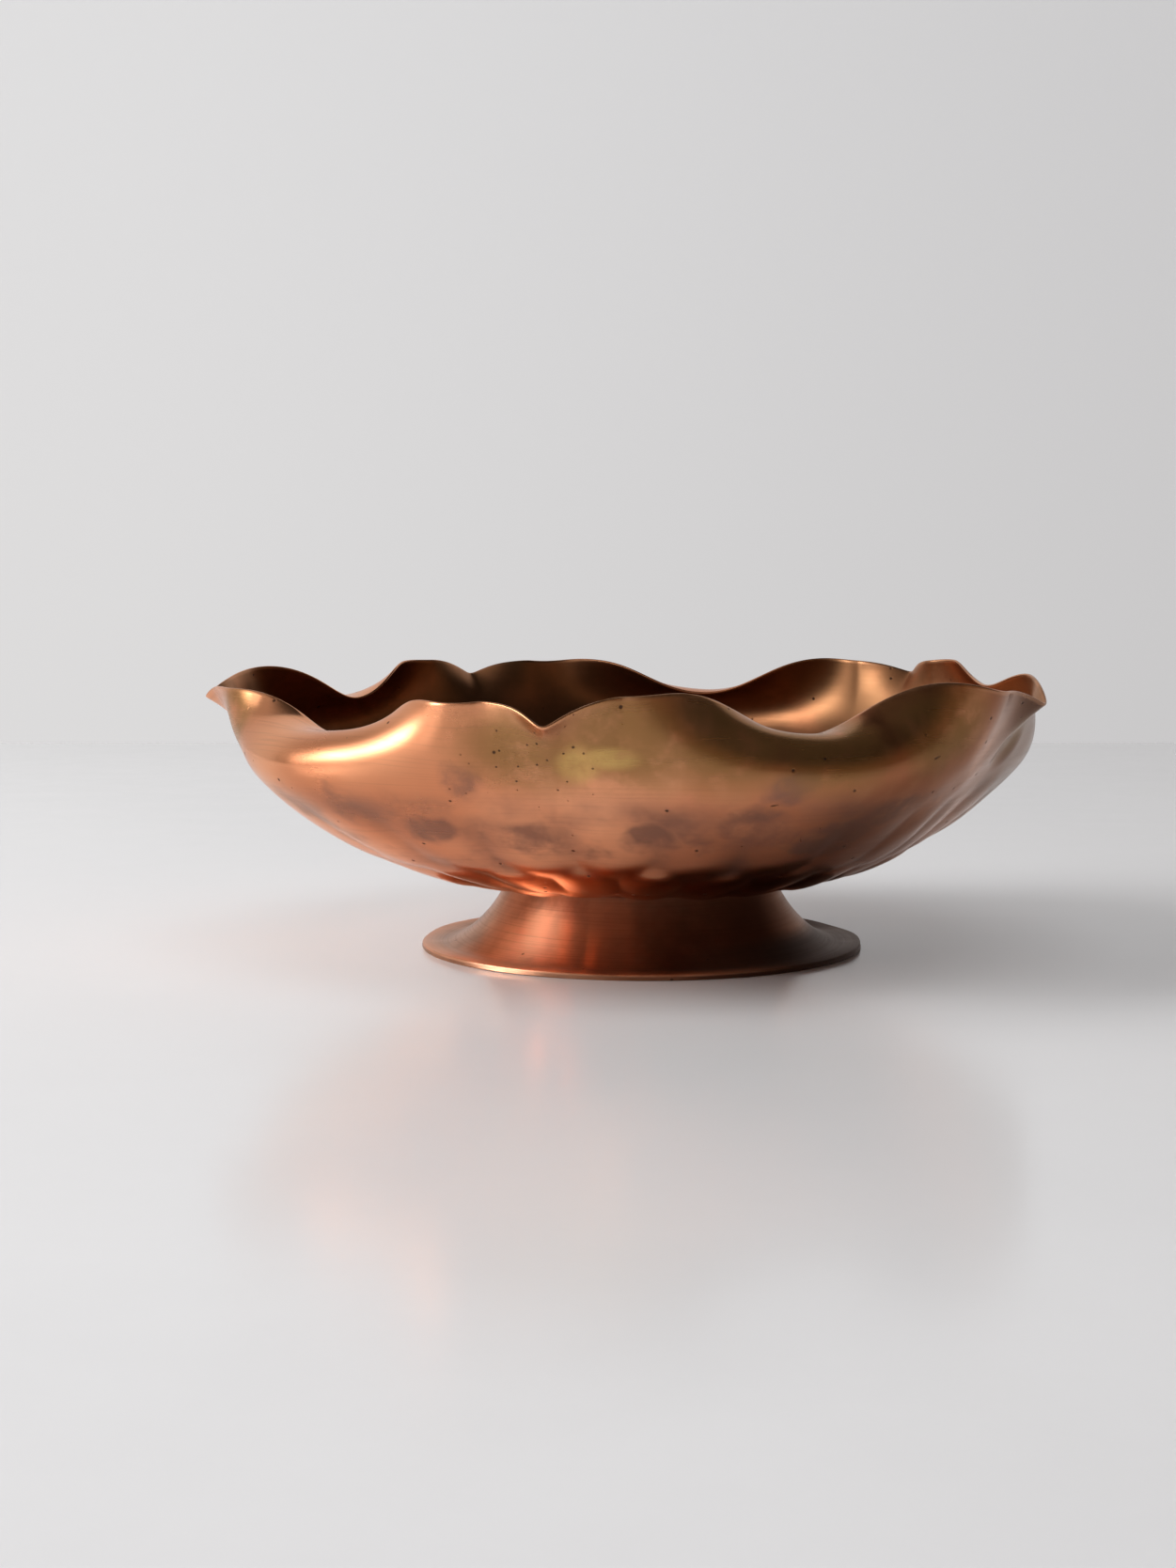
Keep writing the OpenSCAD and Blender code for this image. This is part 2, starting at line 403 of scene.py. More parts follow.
# %% [markdown]
# ## The hammer marks
#
# The lower wall was struck from inside with a round-faced hammer, in rings that don't line up with
# each other. Every stroke leaves a shallow convex bump, and where two bumps meet there is a soft
# valley. The sheet is pushed out on the bumps and drawn in between them, so on average the wall
# stays where it was. A noise texture would look like crumpled foil, so each ring is worked out as a
# row of rounded cells: the height falls with the square of the distance from the nearest stroke's
# middle, and a smooth maximum joins the rings without a hard crease.
#
# Two more things make it a hand's work: a slow unevenness of the whole wall, and one dimple the
# size of a thumb, under the notch on the right.

# %% The hammer marks
# Each ring: length from the floor, half length of a stroke, strokes round, height of a bump, and
# how far the ring is turned
RINGS = [(11.0, 10.0, 21, 1.6, 0.0), (29.0, 13.0, 26, 1.7, -1.0), (55.0, 19.0, 26, 0.95, -8.0)]
JOIN_SHARPNESS = 9.0
# The dimple: its direction and length, its half widths along both, and its depth
DIMPLE_A, DIMPLE_S, DIMPLE_A_HALF, DIMPLE_S_HALF, DIMPLE_DEEP = 70.0, 88.0, 6.4, 9.0, 1.1
# Each wave of unevenness: how many times it goes round, and its length up the wall
HAND_WAVES = ((7, 60.0), (11, 45.0), (17, 38.0), (23, 30.0), (31, 24.0))
HAND_WAVE_HEIGHT = 0.07


def hammer_height(a, s):
    """How far the hammer has pushed the sheet out at direction a and length s: a smooth maximum
    over the rings of height x (1 - 0.8 across^2 - 0.9 along^2), where across runs from -1 to 1
    over one stroke and along over the ring's half length."""
    seed = np.random.default_rng(7)
    total = np.zeros(np.broadcast(a, s).shape)
    for middle, half, strokes, height, turn in RINGS:
        cell = (a + turn) / 360 * strokes
        number = np.round(cell).astype(int) % strokes
        across = (cell - np.round(cell)) * 2
        force = seed.uniform(0.65, 1.15, strokes)[number]
        place = seed.uniform(-1.6, 1.6, strokes)[number]
        along = (s - middle - place) / half
        bump = height * force * (1 - 0.8 * across ** 2 - 0.9 * along ** 2)
        total += np.exp(JOIN_SHARPNESS * bump)
    return np.log1p(total) / JOIN_SHARPNESS


def dimple_depth(a, s):
    """How deep the thumb-sized dimple under the right notch is at direction a and length s: an
    oval with a side that rises smoothly over most of its half width."""
    far = np.sqrt((apart(a, DIMPLE_A) / DIMPLE_A_HALF) ** 2 + ((s - DIMPLE_S) / DIMPLE_S_HALF) ** 2)
    return DIMPLE_DEEP * ease((1 - far) / 0.75)


def hand_waves(a, s):
    """The slow unevenness of a sheet that was beaten by hand: a sum of waves round the bowl and
    up the wall, each with its own random phase."""
    seed = np.random.default_rng(11)
    total = np.zeros(np.broadcast(a, s).shape)
    for round_count, length in HAND_WAVES:
        phase, shift = seed.uniform(0, 2 * np.pi, 2)
        total += np.sin(np.radians(a * round_count) + phase) * np.sin(2 * np.pi * s / length + shift)
    return total * HAND_WAVE_HEIGHT


print(sum(strokes for _, _, strokes, _, _ in RINGS), "strokes of the hammer in", len(RINGS), "rings")

# %% [markdown]
# ## From a surface to a sheet
#
# The sheet has two sides and a rounded edge. The outer side is the wall pushed out by the hammer
# marks. The inner side is the same surface moved inwards, square to itself, by the thickness. A
# half circle of points joins them round the rim.

# %% From a side to a closed sheet


def directions(count):
    """Directions round the bowl in degrees, with the given number from notch to notch, closer
    together near the notches."""
    starts = np.array([n for n, _, _, _ in NOTCHES] + [NOTCHES[0][0] + 360.0])
    t = np.arange(count) / count
    t = t - 0.09 * np.sin(2 * np.pi * t)
    return (starts[:-1, None] + np.diff(starts)[:, None] * t).ravel()


def normals_of(points):
    """Unit normals of a grid that closes round its rows: the cross product of the differences
    along both ways, pointing out of the bowl."""
    around = np.roll(points, -1, 0) - np.roll(points, 1, 0)
    along = np.gradient(points, axis=1)
    normal = np.cross(around, along)
    return normal / np.linalg.norm(normal, axis=-1, keepdims=True)


def sheet_grid(outer, normal, thickness, steps=3):
    """Columns of a closed sheet: the outer side, a half circle over the edge, and the inner
    side from the edge back."""
    inner = outer - normal * thickness
    edge = outer[:, -1] - outer[:, -2]
    edge = edge / np.linalg.norm(edge, axis=-1, keepdims=True)
    centre = (outer[:, -1] + inner[:, -1]) / 2 - edge * thickness / 2
    angle = np.pi * np.arange(1, steps + 1) / (steps + 1)
    arc = [centre + (normal[:, -1] * np.cos(t) + edge * np.sin(t)) * thickness / 2 for t in angle]
    outer_end = centre + normal[:, -1] * thickness / 2
    inner_end = centre - normal[:, -1] * thickness / 2
    rim = np.stack([outer_end, *arc, inner_end], 1)
    return np.concatenate([outer[:, :-1], rim, inner[:, -2::-1]], 1)


# %% [markdown]
# ## From a grid to a mesh
#
# Blender stores a mesh as points and faces, so a grid needs only its points in a row and four
# numbers for each face. A modifier could thicken and smooth a coarse cage, but a grid that is fine
# enough needs none. Each point can also carry numbers of its own, here the length along the sheet
# and the depth between the hammer marks, and the finishes read them.

# %% A mesh from a grid


def grid_piece(name, columns, poles=None, attributes=None):
    """A mesh from a grid of points, in millimetres, that closes round its rows. With poles, two
    points close its ends; without, each row closes on itself like a ring. attributes are numbers
    for each point of the grid, which materials can read."""
    rows, count = columns.shape[:2]
    points = columns.reshape(-1, 3)
    number = np.arange(rows * count).reshape(rows, count)
    beside, below = np.roll(number, -1, 0), np.roll(number, -1, 1)
    quads = np.stack([number, beside, np.roll(beside, -1, 1), below], -1)
    quads = quads[:, :count if poles is None else count - 1].reshape(-1, 4)
    first, last = np.arange(rows) * count, np.arange(rows) * count + count - 1
    ends = np.empty((0, 3), int)
    if poles is not None:
        bottom, top = len(points), len(points) + 1
        points = np.vstack([points, poles])
        ends = np.vstack([np.stack([np.roll(first, -1), first, np.full(rows, bottom)], 1),
                          np.stack([last, np.roll(last, -1), np.full(rows, top)], 1)])
    mesh = bpy.data.meshes.new(name)
    mesh.from_pydata((points * MM).tolist(), [], quads.tolist() + ends.tolist())
    mesh.polygons.foreach_set("use_smooth", np.ones(len(mesh.polygons), bool))
    for key, value in (attributes or {}).items():
        layer = mesh.attributes.new(key, "FLOAT", "POINT")
        spread = np.broadcast_to(value, (rows, count))
        at_poles = [] if poles is None else [spread[0, 0], spread[0, -1]]
        layer.data.foreach_set("value", np.append(spread.ravel(), at_poles))
    mesh.update()
    piece = bpy.data.objects.new(name, mesh)
    bpy.context.collection.objects.link(piece)
    print(name, len(mesh.polygons), "faces")
    return piece


# %% [markdown]
# ## The sheet of the bowl
#
# A flat disc closes the floor. All of the sheet is one grid that runs from the middle of the
# underside, over the rim, to the middle of the inside, so the shell is closed. Directions are set
# closer together near the notches, where the sheet bends most sharply.

# %% The sheet of the bowl
AROUND = 130
TRIM = 0.9973  # draws the uneven sheet in, so it stays inside the size of the smooth one
LENGTHS = np.concatenate([np.linspace(0, 72, 34)[:-1], np.linspace(72, WALL_LEN, 30)])

around = directions(AROUND)
smooth_wall = wall_surface(around, LENGTHS)
marks = hammer_height(around[:, None], LENGTHS[None, :]) * ease(LENGTHS / 8)[None, :]
raised = marks - marks.mean(axis=0, keepdims=True)
raised = raised + hand_waves(around[:, None], LENGTHS[None, :]) * ease(LENGTHS / 20)[None, :]
raised = raised - dimple_depth(around[:, None], LENGTHS[None, :])
hammered = (smooth_wall + normals_of(smooth_wall) * raised[..., None]) * [TRIM, TRIM, 1]
floor_rings = np.array([0.35, 0.7])[None, :, None] * (hammered[:, :1] * [1, 1, 0])
floor_rings = floor_rings + [0, 0, FLOOR_Z]
outer_side = np.concatenate([floor_rings, hammered], 1)
bowl_columns = sheet_grid(outer_side, normals_of(outer_side), SHEET)

# What the finish needs to know about each point: the length along the sheet from the floor, the
# length left to the rim, how deep it lies between hammer marks, and whether it is inside
rim_steps = bowl_columns.shape[1] - 2 * (outer_side.shape[1] - 1)
along = np.concatenate([[-27.0, -13.0], LENGTHS[:-1]])
along = np.concatenate([along, np.full(rim_steps, WALL_LEN), along[::-1]])
deep = np.clip(1 - marks / 0.75, 0, 1) * ease(LENGTHS / 8) * ease((82 - LENGTHS) / 14)
deep = np.concatenate([np.zeros((len(deep), 2)), deep[:, :-1]], 1)
deep = np.concatenate([deep, np.zeros((len(deep), rim_steps)), deep[:, ::-1]], 1)
inside = np.concatenate([np.zeros(outer_side.shape[1] - 1), np.linspace(0, 1, rim_steps),
                         np.ones(outer_side.shape[1] - 1)])
bowl = grid_piece("bowl_sheet", bowl_columns, [(0, 0, FLOOR_Z), (0, 0, FLOOR_Z + SHEET)],
                  {"along": along * MM, "from_rim": (WALL_LEN - along) * MM, "hollow": deep,
                   "inside": inside})
print("hammer marks in mm:", round(float(raised.min()), 2), "to", round(float(raised.max()), 2))

# %% [markdown]
# ## The foot
#
# The foot is a second sheet, spun to a flared cone, with its edge turned under. Its outline is a
# cubic curve from the neck down to the flange, then a half circle round the hem. The hem lies flat
# on the table, and the flange above it is slightly wavy, as hand-finished edges are.

# %% The foot
FOOT_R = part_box("foot")[1][0] / MM
FOOT_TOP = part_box("foot")[1][2] / MM
NECK_R, FLANGE_R, SEAT_W, HEM_W = 39.0, 57.0, 4.5, 5.0
HEM_T = 2 * SHEET - 0.1
FLANGE_WAVE, FLANGE_DRAW = 0.3, 0.006


def bend(t, p):
    """A cubic curve through the end points of p, pulled by its two middle points."""
    t, p, u = t[:, None], np.array(p), 1 - t[:, None]
    return u ** 3 * p[0] + 3 * u * u * t * p[1] + 3 * u * t * t * p[2] + t ** 3 * p[3]


def arc(centre, radius, start, end, count):
    """Points on an arc between two angles in degrees."""
    t = np.radians(np.linspace(start, end, count))
    return np.stack([centre[0] + radius * np.cos(t), centre[1] + radius * np.sin(t)], 1)


def foot_outline():
    """The closed outline of the foot's sheet as (radius, height): seat, outside, hem, inside."""
    curve = np.linspace(0, 1, 40)
    edge = SHEET / 2
    inside_z = HEM_T - SHEET
    outside = bend(curve, [(NECK_R, FOOT_TOP), (NECK_R + 2, FOOT_TOP - 6.6), (50, HEM_T + 0.4),
                           (FLANGE_R, HEM_T)])
    inside = bend(curve, [(FLANGE_R, inside_z), (50, inside_z + 0.3),
                          (NECK_R + 2 - SHEET, FOOT_TOP - 6.9), (NECK_R - SHEET, FOOT_TOP - SHEET)])
    return np.vstack([
        [(NECK_R - SEAT_W, FOOT_TOP)], outside,
        arc((FOOT_R - edge, HEM_T - edge), edge, 90, 0, 6),
        arc((FOOT_R - edge, edge), edge, 0, -90, 6),
        [(FOOT_R - HEM_W, 0), (FOOT_R - HEM_W, inside_z)], inside,
        [(NECK_R - SEAT_W, FOOT_TOP - SHEET)]])


outline = foot_outline()
foot_turn = np.radians(np.linspace(-180, 180, 361)[:-1])[:, None]
foot_columns = np.stack([outline[:, 0] * np.sin(foot_turn), -outline[:, 0] * np.cos(foot_turn),
                         outline[:, 1] * np.ones_like(foot_turn)], -1)
steps = np.linalg.norm(np.diff(outline, axis=0), axis=1)
travel = np.concatenate([[0], np.cumsum(steps)])
hem_edge = ease((outline[:, 0] - FOOT_R + 1.6) / 1.2)
flange = ease((outline[:, 0] - 50) / 12) * (outline[:, 1] > 0.3)
waves = 0.5 + 0.25 * np.sin(5 * foot_turn + 0.6) + 0.25 * np.sin(12 * foot_turn)
foot_columns[..., 2] += FLANGE_WAVE * flange * waves
foot_columns[..., :2] *= 1 - FLANGE_DRAW * flange[None, :, None] * (1 - waves[..., None])
foot = grid_piece("foot_sheet", foot_columns[:, ::-1],
                  attributes={"along": travel[::-1] * MM, "hem_edge": hem_edge[::-1]})

# %% [markdown]
# ## The solder
#
# Solder fills the thin gap between the seat and the floor, and a small fillet of it shows outside
# the neck. It is a ring with a slightly uneven outer edge.

# %% The solder
SOLDER_LOW, SOLDER_HIGH = (value[2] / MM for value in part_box("solder_joint"))
FILLET_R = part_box("solder_joint")[1][0] / MM
solder_turn = np.radians(np.linspace(-180, 180, 241)[:-1])[:, None]
UNEVEN = 0.12
uneven = 1 + UNEVEN * np.sin(9 * solder_turn) * np.sin(5 * solder_turn + 1) - UNEVEN
fillet = (FILLET_R - NECK_R) * uneven
solder_r = np.hstack([np.full_like(fillet, NECK_R - SEAT_W), np.full_like(fillet, NECK_R),
                      NECK_R + 0.4 * fillet, NECK_R + fillet,
                      np.full_like(fillet, NECK_R - SEAT_W)])
solder_z = np.array([SOLDER_LOW, SOLDER_LOW, SOLDER_LOW + 0.12, SOLDER_HIGH, SOLDER_HIGH])
solder_columns = np.stack([solder_r * np.sin(solder_turn), -solder_r * np.cos(solder_turn),
                           solder_z * np.ones_like(solder_turn)], -1)
solder = grid_piece("solder_ring", solder_columns)

# %% [markdown]
# ## Copper
#
# Polished copper is an orange metal whose own colour is its reflection: the shader is fully
# metallic, and the base colour says how each wavelength is mirrored. Three things happen to it
# with age. The polishing wheel leaves fine lines that run round the bowl. The hollows between
# the hammer marks are missed by the cloth and stay dark. And a film of tarnish, first yellow,
# then olive, then brown, creeps in where hands don't rub, with a few black pits in it.
#
# The lines are noise stretched along the direction round the bowl. It is worked out from the
# length along the sheet, so the lines stay square to the profile on the wall and on the floor. The
# pits are dots in some of the cells of a Voronoi pattern.

# %% Lines and pits


def read_attribute(tree, name):
    """A number stored on the mesh's points."""
    return add_node(tree, "Attribute", {"attribute_name": name}).outputs["Fac"]


def wheel_lines(tree, place, along, fineness):
    """Noise in fine rings round the bowl, from about 0.3 to 0.7."""
    parts = add_node(tree, "SeparateXYZ", Vector=place).outputs
    stretched = add_node(tree, "CombineXYZ", X=math_node(tree, "MULTIPLY", parts["X"], 22.0),
                         Y=math_node(tree, "MULTIPLY", parts["Y"], 22.0),
                         Z=math_node(tree, "MULTIPLY", along, fineness)).outputs[0]
    return add_node(tree, "TexNoise", Vector=stretched, Scale=1.0, Detail=3.0,
                    Roughness=0.6).outputs["Fac"]


def pits(tree, place, fineness, share):
    """1 in small round pits, in the given share of the cells of a Voronoi pattern."""
    cells = add_node(tree, "TexVoronoi", Vector=place, Scale=fineness)
    chance = add_node(tree, "SeparateXYZ", Vector=cells.outputs["Color"]).outputs["X"]
    dot = fade(tree, cells.outputs["Distance"], 0.17, 0.08)
    return both(tree, dot, fade(tree, chance, share, share - 0.03))


# %% [markdown]
# ## Marks with a place of their own
#
# A smoke mark or a scratch belongs to one place on one bowl, so noise alone can't put it there. A
# spot is measured by its distance from a middle, and a scratch by its distance from a line. Noise
# added to the distance frays a spot's edge, as real stains have no outline.

# %% Spots and scratches


def spot_mask(tree, place, spot, ragged, fray=1.0):
    """1 round a spot's centre and 0 beyond its reach. spot is the centre and the reach in mm, and
    how much longer it is along X, Y and Z. ragged is a noise that frays its edge, more or less so
    by the number fray."""
    centre, reach, stretch = spot
    centre = [value * MM for value in centre]
    offset = add_node(tree, "VectorMath", {"operation": "SUBTRACT"}, _0=place, _1=centre).outputs[0]
    scaled = add_node(tree, "VectorMath", {"operation": "DIVIDE"}, _0=offset,
                      _1=[value * reach * MM for value in stretch]).outputs[0]
    far = add_node(tree, "VectorMath", {"operation": "LENGTH"}, _0=scaled).outputs["Value"]
    frays = both(tree, math_node(tree, "SUBTRACT", ragged, 0.5), fray)
    return fade(tree, math_node(tree, "ADD", far, frays), 1.15, 0.4)


def most(tree, masks):
    """The largest of several masks."""
    total = masks[0]
    for mask in masks[1:]:
        total = math_node(tree, "MAXIMUM", total, mask)
    return total


def scratch_mask(tree, place, start, end, width):
    """1 along a straight scratch between two points, all in mm: the distance from the line is
    the length of the offset once its part along the line is taken out."""
    start, end = np.array(start) * MM, np.array(end) * MM
    length = float(np.linalg.norm(end - start))
    way = ((end - start) / length).tolist()
    middle = ((start + end) / 2).tolist()
    offset = add_node(tree, "VectorMath", {"operation": "SUBTRACT"}, _0=place, _1=middle).outputs[0]
    far_along = add_node(tree, "VectorMath", {"operation": "DOT_PRODUCT"}, _0=offset,
                         _1=way).outputs["Value"]
    beside = add_node(tree, "VectorMath", {"operation": "CROSS_PRODUCT"}, _0=offset, _1=way).outputs[0]
    gap = add_node(tree, "VectorMath", {"operation": "LENGTH"}, _0=beside).outputs["Value"]
    near = fade(tree, gap, width * MM, width * MM * 0.3)
    within = fade(tree, math_node(tree, "ABSOLUTE", far_along), length / 2, length * 0.38)
    return both(tree, near, within)


# %% [markdown]
# ## The copper of the bowl
#
# The outside is bright and orange below the rim's folds, and redder and darker towards the right.
# That darkening is partly age and partly painted shade of the side away from the window. Low on
# the right, near the foot, it is darkest as painted shade, and so is the darker, duller right end,
# which also mirrors less. Plum coloured smoke marks lie on the wall above the hammered part. Olive
# and yellow tarnish covers the upper front, round the front notch and along the foot of the leaning
# lobes. The left of the front is scuffed, so its highlight is soft. A few scratches sit on the right
# of the front. The inside is a deep brown, partly tarnish and partly painted shade in the hollow.
#
# Each kind of wear is a mask, a number from 0 to 1 at each point. Where a mark has its own place,
# the mask is a spot or a short line given in millimetres, with its edge frayed by noise. The
# colours are then laid over each other like glazes, the oldest first.

# %% Colours and places of wear on the bowl
# Of these, the aged red is partly age and partly painted shade, the dull and underside browns are
# painted shade, and the inside brown is partly painted shade
BRIGHT, RED, AGED_AND_SHADE = (0.93, 0.43, 0.23), (0.66, 0.25, 0.12), (0.40, 0.14, 0.065)
PLUM, INSIDE_BROWN_AND_SHADE, RIGHT_END_SHADE = (0.25, 0.125, 0.09), (0.29, 0.14, 0.065), (0.13, 0.075, 0.05)
OLIVE, YELLOW = (0.28, 0.145, 0.045), (0.76, 0.50, 0.16)
UNDERSIDE_SHADE, PIT, RUBBED_EDGE = (0.17, 0.065, 0.035), (0.06, 0.03, 0.02), (0.92, 0.48, 0.28)

# Each spot: its middle, how far it reaches, and how much longer it is along X, Y and Z
TARNISHED = [((-28, -107, 66), 15, (1.6, 1, 1)), ((-5, -113, 68), 17, (1.5, 1, 1)),
             ((18, -110, 68), 16, (1.6, 1, 1)), ((44, -103, 66), 15, (1.7, 1.5, 1)),
             ((73, -86, 69), 15, (1.4, 1.4, 1)), ((-112, -36, 68), 13, (1, 1, 1)),
             ((101, -36, 66), 13, (1, 1, 1))]
SMOKED = [((-76, -82, 48), 9, (1.3, 1.4, 0.8)), ((-57, -86, 42), 8, (1.1, 1, 0.8)),
          ((-33, -88, 40), 9, (1.9, 1, 0.7)), ((2, -97, 42), 8, (1.2, 1, 0.8)),
          ((24, -100, 43), 8.5, (1.2, 1, 0.9)), ((36, -110, 56), 6, (1.2, 1, 0.7)),
          ((49, -88, 41), 9, (1.1, 1.2, 0.7)), ((61, -89, 47), 8, (1.2, 1.2, 0.6)),
          ((-47, -101, 57), 6, (1, 1, 0.9))]
YELLOWED = [((-18, -109, 61), 6.5, (1, 1, 1.1)), ((-11, -110, 63), 6, (1.7, 1, 0.6))]
PITTED = ((-27, -108, 64), 19, (1.2, 1, 1))
SCUFFED = ((-66, -92, 65), 30, (1.2, 1, 0.8))
SMOKE_FRAY = 4.5
# Each scratch: its two ends and its width
SCRATCHES = [((37, -103, 48.5), (38, -93, 40.5), 0.45), ((29, -108, 51), (36, -107, 53), 0.4),
             ((72, -88, 61), (77, -84, 62.5), 0.4), ((63, -96, 57), (70, -90, 59), 0.35),
             ((-14, -108, 58), (-8, -109, 57), 0.3), ((82, -78, 52), (88, -72, 56), 0.35)]

print("marks with a place of their own on the bowl:",
      len(TARNISHED) + len(SMOKED) + len(YELLOWED) + len(SCRATCHES) + len([PITTED, SCUFFED]))

# %% [markdown]
# ## Masks of wear on the bowl
#
# Some masks depend on the place: the bowl is darker to the right, partly aged and partly painted
# shade, darkest as painted shade low down near the foot, and darker and duller as painted shade at
# its end. Others follow the work: dark lines from the polishing wheel, dark hollows between the
# hammer marks, and a worn rim. Most are broken up by a noise, so no two lobes look the same.

# %% Masks of wear on the bowl
copper, tree, shader = new_material("bowl_copper", Specular_Tint=(0.97, 0.86, 0.78, 1))
place = add_node(tree, "TexCoord").outputs["Object"]
east = add_node(tree, "SeparateXYZ", Vector=place).outputs["X"]
along, from_rim = read_attribute(tree, "along"), read_attribute(tree, "from_rim")
inside_mask = fade(tree, read_attribute(tree, "inside"), 0.45, 0.9)
outside_mask = math_node(tree, "SUBTRACT", 1.0, inside_mask)
cloud = add_node(tree, "TexNoise", Vector=place, Scale=34.0, Detail=4.0, Roughness=0.6).outputs["Fac"]
large_cloud = add_node(tree, "TexNoise", Vector=place, Scale=14.0, Detail=2.0).outputs["Fac"]
ragged = add_node(tree, "TexNoise", Vector=place, Scale=75.0, Detail=5.0, Roughness=0.6).outputs["Fac"]
lines = wheel_lines(tree, place, along, 1300.0)


def spots(marks, noise, fray=1.0):
    """All the spots of a list in one mask, on the outside only."""
    masks = [spot_mask(tree, place, spot, noise, fray) for spot in marks]
    return both(tree, most(tree, masks), outside_mask)


# Darker to the right: partly age, partly painted shade of the side away from the window
aged_and_shaded_right = both(tree, fade(tree, east, -0.04, 0.08), fade(tree, ragged, 0.2, 0.55))
# Painted shade: darkest low on the right wall, near the foot
shaded_underside = both(tree, aged_and_shaded_right, fade(tree, along, 0.042, 0.024))
# Painted shade: the right end of the outside is darker and duller
shaded_right_end = both(tree, outside_mask, fade(tree, east, 0.080, 0.105))
line_tint = both(tree, fade(tree, lines, 0.5, 0.75), outside_mask)
hollow = both(tree, read_attribute(tree, "hollow"), fade(tree, cloud, 0.34, 0.62))
lower_wall = both(tree, fade(tree, along, 0.036, 0.052), fade(tree, along, 0.086, 0.066))
haze = both(tree, both(tree, lower_wall, fade(tree, cloud, 0.53, 0.70)), outside_mask)
smoke = both(tree, most(tree, [haze, spots(SMOKED, cloud, SMOKE_FRAY)]), fade(tree, ragged, 0.2, 0.62))
tarnish = spots(TARNISHED, ragged)
mottled = both(tree, tarnish, fade(tree, ragged, 0.1, 0.55))
yellow = both(tree, spots(YELLOWED, ragged), fade(tree, ragged, 0.3, 0.6))
scuffed = spot_mask(tree, place, SCUFFED, ragged)
pitted = spot_mask(tree, place, PITTED, ragged)
pit_mask = most(tree, [both(tree, pits(tree, place, 420.0, 0.45), pitted),
                       pits(tree, place, 260.0, 0.13)])
worn = most(tree, [pit_mask] + [scratch_mask(tree, place, *scratch) for scratch in SCRATCHES])
rim_wear = both(tree, fade(tree, from_rim, 0.0014, 0.0004), fade(tree, cloud, 0.35, 0.6))
print("nodes for the masks of the bowl:", len(tree.nodes))

# %% [markdown]
# ## Colour and shine of the bowl
#
# The colours are laid on one after the other: clean copper, age and painted shade on the right,
# smoke, tarnish, the inside with its partly painted shade, the pits and scratches, and last the rim.
# The same masks then make the worn places rougher, so they mirror the room more softly, and a small
# bump carries the wheel's lines and the scratches.

# %% Colour and shine of the bowl
colour = blend_colours(tree, fade(tree, large_cloud, 0.40, 0.66), BRIGHT, RED)
# Here the aged, underside and dull colours paint shade on the right of the bowl, the aged one partly
# age too
for second, mask, strength in ((AGED_AND_SHADE, aged_and_shaded_right, 0.85), (UNDERSIDE_SHADE, shaded_underside, 0.7),
                               (PLUM, line_tint, 0.16), (PLUM, hollow, 0.85), (PLUM, smoke, 0.85),
                               (RIGHT_END_SHADE, shaded_right_end, 0.8), (OLIVE, mottled, 0.85), (YELLOW, yellow, 0.6)):
    colour = tint(tree, colour, second, mask, strength)
# The inside's brown is partly tarnish and partly painted shade in the hollow of the bowl
colour = tint(tree, colour, INSIDE_BROWN_AND_SHADE, inside_mask, fade(tree, cloud, 1.0, 0.3))
colour = tint(tree, colour, PIT, worn, 0.9)
colour = tint(tree, colour, RUBBED_EDGE, rim_wear, 0.3)
tree.links.new(colour, shader.inputs["Base Color"])

# Oxide isn't a metal, so where tarnish lies thick the surface mirrors less; the right end's drop is
# painted shade
tarnish_and_end_shade = math_node(tree, "ADD", both(tree, tarnish, 0.20), both(tree, shaded_right_end, 0.4))
tree.links.new(math_node(tree, "SUBTRACT", 1.0, tarnish_and_end_shade), shader.inputs["Metallic"])

rough = math_node(tree, "ADD", 0.13, both(tree, lines, 0.12))
for mask, strength in ((most(tree, [tarnish, hollow, smoke]), 0.07), (inside_mask, 0.20),
                       (scuffed, 0.12), (worn, 0.3)):
    rough = math_node(tree, "ADD", rough, both(tree, mask, strength))
tree.links.new(rough, shader.inputs["Roughness"])

relief = math_node(tree, "SUBTRACT", both(tree, lines, 0.2), worn)
bump = add_node(tree, "Bump", Strength=0.35, Distance=0.0002, Height=relief)
tree.links.new(bump.outputs[0], shader.inputs["Normal"])
bowl.data.materials.append(copper)
print("nodes for the copper of the bowl:", len(tree.nodes))

# %% [markdown]
# ## The copper of the foot
#
# The foot is handled less than the dish, so it has kept a red-brown skin. Its right side is darker
# as painted shade, darkest on the right of the flange, which also mirrors less there. One patch on
# the left of its front is a painted highlight, brighter where the window's light runs down the foot.
# Its lines come from the spinning lathe and are closer together. Metal with a grain like that smears
# a highlight across the grain, so the shader is anisotropic, with its tangent running round the foot
# and turned by a quarter. The upper edge of the hem is brighter on the left, partly worn by the
# table and partly a painted highlight on the window's side.

# %% The copper of the foot
# Of these, the brightest skin is a painted highlight, the dark side and the soot are painted shade, and
# the hem edge is partly wear, partly painted highlight
SKIN, DARK_SKIN, HIGHLIGHT_SKIN = (0.56, 0.28, 0.17), (0.34, 0.17, 0.105), (0.93, 0.50, 0.31)
LATHE_LINE, SHADE_SIDE, FLANGE_SHADE = (0.30, 0.13, 0.075), (0.15, 0.06, 0.035), (0.07, 0.04, 0.03)
HEM_EDGE_AND_HIGHLIGHT = (0.90, 0.45, 0.27)
# Where the painted highlight lies on the foot: its middle, reach and stretch
HIGHLIGHT_SPOT = ((-31, -37, 8), 13, (1, 1, 1.2))
HIGHLIGHT_FRAY = 1.5

